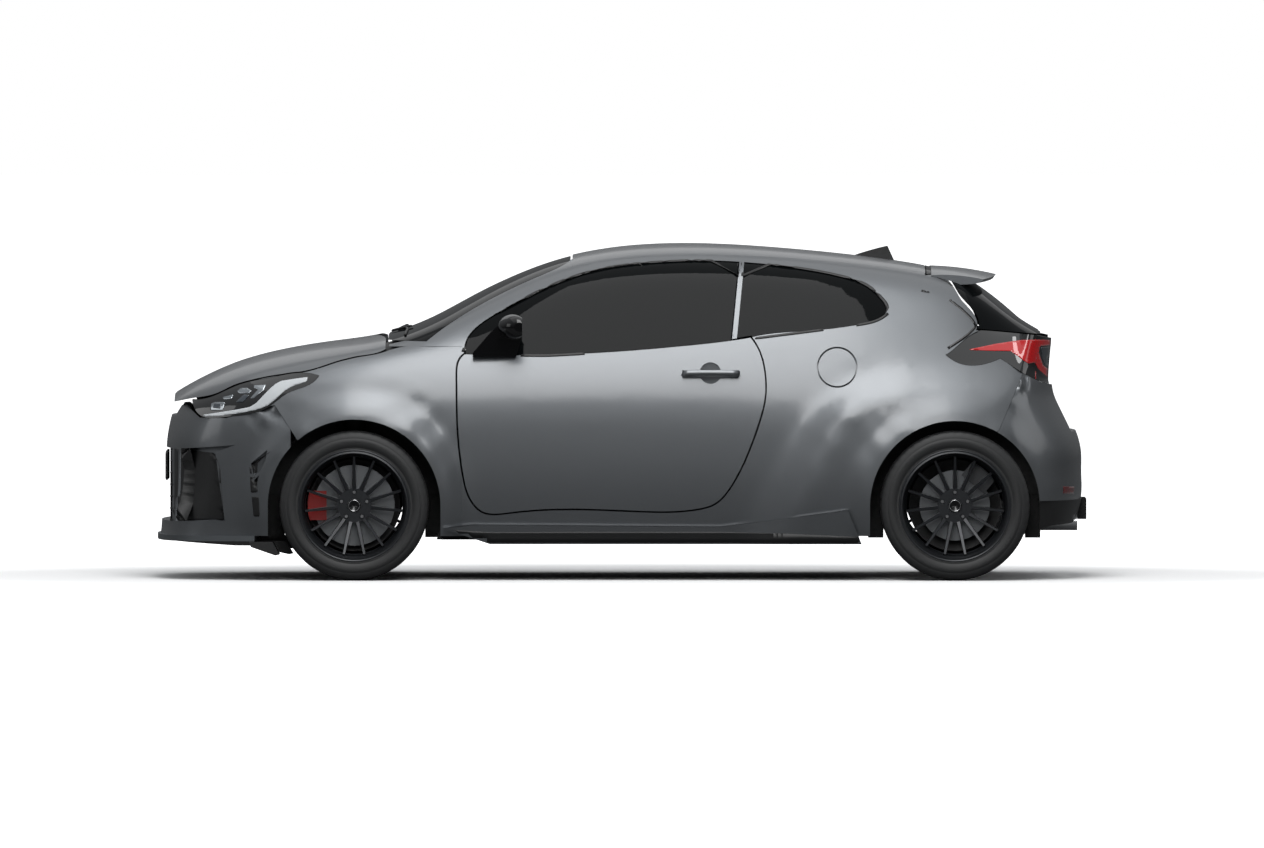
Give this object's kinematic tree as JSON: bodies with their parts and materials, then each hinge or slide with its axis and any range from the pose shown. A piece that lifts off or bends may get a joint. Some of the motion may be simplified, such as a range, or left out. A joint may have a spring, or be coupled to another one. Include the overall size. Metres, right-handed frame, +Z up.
{
  "type": "hot hatchback car",
  "caption": "Three-door wide-arch hot hatchback with a modelled cabin, opening doors, hood and tailgate, steered front wheels and a roof wing.",
  "frame": {"origin": "on the ground under the middle of the car's bounding box", "axes": "+Z up, -Y to the front of the car, +X to the car's own left side"},
  "size_m": [2.048, 3.9817, 1.4291],
  "materials": {
    "paint": "metallic grey, clear coated",
    "glass": "dark tinted",
    "black_gloss": "piano black",
    "black_trim": "fine grain",
    "tail_red": "clear red moulding on black",
    "lamp_clear": "clear moulding over dark housing",
    "tyre": "black rubber",
    "wheel_paint": "satin graphite",
    "disc_iron": "machined",
    "caliper_red": "red",
    "caliper_grey": "dark grey",
    "chassis_black": "black underbody coat",
    "engine_alloy": "cast",
    "interior_plastic": "grained",
    "seat_cloth": "woven cloth",
    "leather_black": "smooth",
    "steel_bright": "polished tip"
  },
  "bodies": {
    "car_body": {"side_frame_left": "paint", "side_frame_right": "paint", "roof_panel": "paint", "fender_left": "paint", "fender_right": "paint", "windscreen": "glass", "cowl": "black_trim", "quarter_glass": "glass", "front_bumper": "paint", "rear_bumper": "paint", "headlamps": "lamp_clear", "tail_lamps": "tail_red", "floor_pan": "chassis_black", "front_structure": "chassis_black", "front_wheelhouses": "black_trim", "rear_wheelhouses": "black_trim", "engine_block": "engine_alloy", "front_suspension": "chassis_black", "front_struts": "chassis_black", "rear_suspension": "chassis_black", "dashboard": "interior_plastic", "front_seats": "seat_cloth", "rear_seat": "seat_cloth", "roof_antenna": "black_trim", "front_splitter": "black_trim", "side_skirts": "paint", "rear_diffuser": "black_trim", "exhaust": "steel_bright", "grille": "black_trim", "caliper_rear_left": "caliper_grey", "caliper_rear_right": "caliper_grey"},
    "hood_lid": {"hood": "paint"},
    "fuel_flap_leaf": {"fuel_flap": "paint"},
    "tailgate_lid": {"tailgate": "paint", "rear_glass": "glass", "rear_spoiler": "paint"},
    "door_left_leaf": {"door_left": "paint", "door_glass_left": "glass", "mirror_left": "black_gloss"},
    "door_right_leaf": {"door_right": "paint", "door_glass_right": "glass", "mirror_right": "black_gloss"},
    "upright_left": {"knuckle_left": "chassis_black", "caliper_front_left": "caliper_red"},
    "upright_right": {"knuckle_right": "chassis_black", "caliper_front_right": "caliper_red"},
    "steering_wheel_body": {"steering_wheel": "leather_black"},
    "wheel_front_left_set": {"tyre_front_left": "tyre", "wheel_front_left": "wheel_paint", "brake_disc_front_left": "disc_iron"},
    "wheel_front_right_set": {"tyre_front_right": "tyre", "wheel_front_right": "wheel_paint", "brake_disc_front_right": "disc_iron"},
    "wheel_rear_left_set": {"tyre_rear_left": "tyre", "wheel_rear_left": "wheel_paint", "brake_disc_rear_left": "disc_iron"},
    "wheel_rear_right_set": {"tyre_rear_right": "tyre", "wheel_rear_right": "wheel_paint", "brake_disc_rear_right": "disc_iron"}
  },
  "joints": [
    {"name": "hood_hinge", "type": "hinge", "parent": "car_body", "child": "hood_lid", "pos_m": [0, -0.997, 1.03], "axis": [-1, 0, 0], "range_deg": [0, 50]},
    {"name": "tailgate_hinge", "type": "hinge", "parent": "car_body", "child": "tailgate_lid", "pos_m": [0, 1.3, 1.327], "axis": [1, 0, 0], "range_deg": [0, 80]},
    {"name": "door_left_hinge", "type": "hinge", "parent": "car_body", "child": "door_left_leaf", "pos_m": [0.855, -0.705, 0.6], "axis": [0, 0, -1], "range_deg": [0, 65]},
    {"name": "door_right_hinge", "type": "hinge", "parent": "car_body", "child": "door_right_leaf", "pos_m": [-0.855, -0.705, 0.6], "axis": [0, 0, 1], "range_deg": [0, 65]},
    {"name": "fuel_flap_hinge", "type": "hinge", "parent": "car_body", "child": "fuel_flap_leaf", "pos_m": [0.80654, 0.83624, 0.90804], "axis": [0.2471, 0, -0.969], "range_deg": [0, 80]},
    {"name": "steer_left", "type": "hinge", "parent": "car_body", "child": "upright_left", "pos_m": [0.702, -1.146, 0.3186], "axis": [0, 0, 1], "range_deg": [-35, 35]},
    {"name": "steer_right", "type": "hinge", "parent": "car_body", "child": "upright_right", "pos_m": [-0.702, -1.146, 0.3186], "axis": [0, 0, 1], "range_deg": [-35, 35]},
    {"name": "steering_wheel_turn", "type": "hinge", "parent": "car_body", "child": "steering_wheel_body", "pos_m": [0.365, -0.2884, 0.883], "axis": [0, 0.9135, 0.4067], "range_deg": [-420, 420]},
    {"name": "wheel_front_left_spin", "type": "hinge", "parent": "upright_left", "child": "wheel_front_left_set", "pos_m": [0.768, -1.146, 0.3186], "axis": [1, 0, 0], "continuous": true},
    {"name": "wheel_front_right_spin", "type": "hinge", "parent": "upright_right", "child": "wheel_front_right_set", "pos_m": [-0.768, -1.146, 0.3186], "axis": [1, 0, 0], "continuous": true},
    {"name": "wheel_rear_left_spin", "type": "hinge", "parent": "car_body", "child": "wheel_rear_left_set", "pos_m": [0.7825, 1.414, 0.3186], "axis": [1, 0, 0], "continuous": true},
    {"name": "wheel_rear_right_spin", "type": "hinge", "parent": "car_body", "child": "wheel_rear_right_set", "pos_m": [-0.7825, 1.414, 0.3186], "axis": [1, 0, 0], "continuous": true}
  ],
  "couplings": [
    {"joint": "steer_right", "follows": "steer_left", "ratio": 1},
    {"joint": "steering_wheel_turn", "follows": "steer_left", "ratio": 12}
  ]
}
